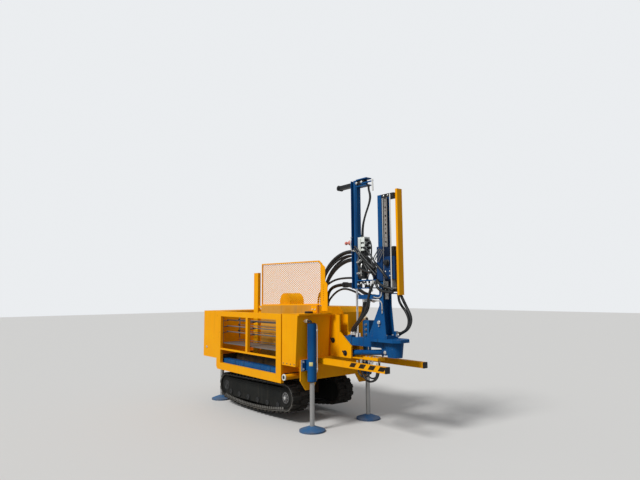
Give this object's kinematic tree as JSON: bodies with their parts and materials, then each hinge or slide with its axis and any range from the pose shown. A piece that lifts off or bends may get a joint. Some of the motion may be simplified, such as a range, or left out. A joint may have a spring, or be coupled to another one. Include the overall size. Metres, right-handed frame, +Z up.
{
  "type": "crawler drilling rig",
  "caption": "Compact crawler drilling rig on jack legs: yellow body with railed bays, tank and mesh guard, rubber tracks, and a blue folding drill tower with sliding feed carriage and rotary head",
  "frame": {"origin": "on the ground, below the middle of the machine's overall length and width", "axes": "+X toward the drill tower, +Y to the machine's left, +Z up"},
  "size_m": [3.52, 1.222, 2.93],
  "materials": {
    "yellow_paint": "semi-gloss",
    "blue_paint": "semi-gloss",
    "pad_paint": "scuffed",
    "track_rubber": "matt",
    "black_paint": "satin",
    "bright_steel": "ground",
    "chrome": "polished",
    "grey_steel": "dull",
    "white_plastic": "satin",
    "black_plastic": "matt",
    "hose_rubber": "matt"
  },
  "bodies": {
    "chassis": {"arm_stand": "yellow_paint", "beam_caps": "black_plastic", "crawler_track_left": "track_rubber", "crawler_track_right": "track_rubber", "cross_tube": "yellow_paint", "drive_hub_left": "grey_steel", "drive_hub_right": "grey_steel", "engine_housing": "yellow_paint", "fork_beams": "yellow_paint", "front_tank": "yellow_paint", "guard_frame": "yellow_paint", "guard_mesh": "yellow_paint", "guard_post": "yellow_paint", "hose_arch_lower": "hose_rubber", "hose_arch_middle": "hose_rubber", "hose_arch_upper": "hose_rubber", "hose_elbows": "grey_steel", "hose_loop": "hose_rubber", "inner_wall": "yellow_paint", "leg_brackets": "blue_paint", "leg_sleeve_front_left": "blue_paint", "leg_sleeve_front_right": "blue_paint", "leg_sleeve_rear_left": "blue_paint", "leg_sleeve_rear_right": "blue_paint", "main_frame": "yellow_paint", "rear_cabinet": "yellow_paint", "rod_rack": "grey_steel", "side_frame_left": "yellow_paint", "side_frame_right": "yellow_paint", "support_beam": "blue_paint", "track_frame_left": "black_paint", "track_frame_right": "black_paint"},
    "jack_front_right": {"leg_rod_front_right": "bright_steel", "leg_pad_front_right": "pad_paint"},
    "jack_front_left": {"leg_rod_front_left": "bright_steel", "leg_pad_front_left": "pad_paint"},
    "jack_rear_right": {"leg_rod_rear_right": "bright_steel", "leg_pad_rear_right": "pad_paint"},
    "jack_rear_left": {"leg_rod_rear_left": "bright_steel", "leg_pad_rear_left": "pad_paint"},
    "tower": {"tower_arm": "blue_paint", "tower_platform": "blue_paint", "rod_guide": "blue_paint", "mast": "blue_paint", "mast_rack": "bright_steel", "tower_guard": "yellow_paint", "guard_brackets": "blue_paint", "feed_rod": "chrome", "hose_drop": "hose_rubber", "hose_side": "hose_rubber"},
    "tilt_cylinder": {"tilt_barrel": "blue_paint"},
    "tilt_piston": {"tilt_rod": "chrome"},
    "feed": {"feed_column": "blue_paint", "column_links": "blue_paint", "carriage": "blue_paint", "drill_head": "black_paint", "valve_block": "white_plastic", "hose_sheaves": "black_paint", "hose_column": "hose_rubber"},
    "chuck": {"spindle": "grey_steel"}
  },
  "joints": [
    {"name": "jack_front_right_slide", "type": "slide", "parent": "chassis", "child": "jack_front_right", "axis": [0, 0, 1], "range_m": [-0.06, 0.34]},
    {"name": "jack_front_left_slide", "type": "slide", "parent": "chassis", "child": "jack_front_left", "axis": [0, 0, 1], "range_m": [-0.06, 0.34]},
    {"name": "jack_rear_right_slide", "type": "slide", "parent": "chassis", "child": "jack_rear_right", "axis": [0, 0, 1], "range_m": [-0.06, 0.34]},
    {"name": "jack_rear_left_slide", "type": "slide", "parent": "chassis", "child": "jack_rear_left", "axis": [0, 0, 1], "range_m": [-0.06, 0.34]},
    {"name": "tower_tilt", "type": "hinge", "parent": "chassis", "child": "tower", "pos_m": [0.65, 0, 1.001], "axis": [0, -1, 0], "range_deg": [0, 80]},
    {"name": "tilt_barrel_swing", "type": "hinge", "parent": "chassis", "child": "tilt_cylinder", "pos_m": [0.867, 0, 0.865], "axis": [0, -1, 0], "range_deg": [0, 84.6]},
    {"name": "tilt_rod_slide", "type": "slide", "parent": "tilt_cylinder", "child": "tilt_piston", "axis": [0.9962, 0, 0.0877], "range_m": [0, 0.325]},
    {"name": "feed_slide", "type": "slide", "parent": "tower", "child": "feed", "axis": [0, 0, 1], "range_m": [-0.05, 0.5]},
    {"name": "chuck_spin", "type": "hinge", "parent": "feed", "child": "chuck", "pos_m": [1.605, 0, 1.7], "axis": [0, 0, 1], "continuous": true}
  ],
  "couplings": [
    {"joint": "tilt_barrel_swing", "follows": "tower_tilt", "ratio": 1.0554},
    {"joint": "tilt_rod_slide", "follows": "tower_tilt", "m_per_rad": 0.23188}
  ]
}
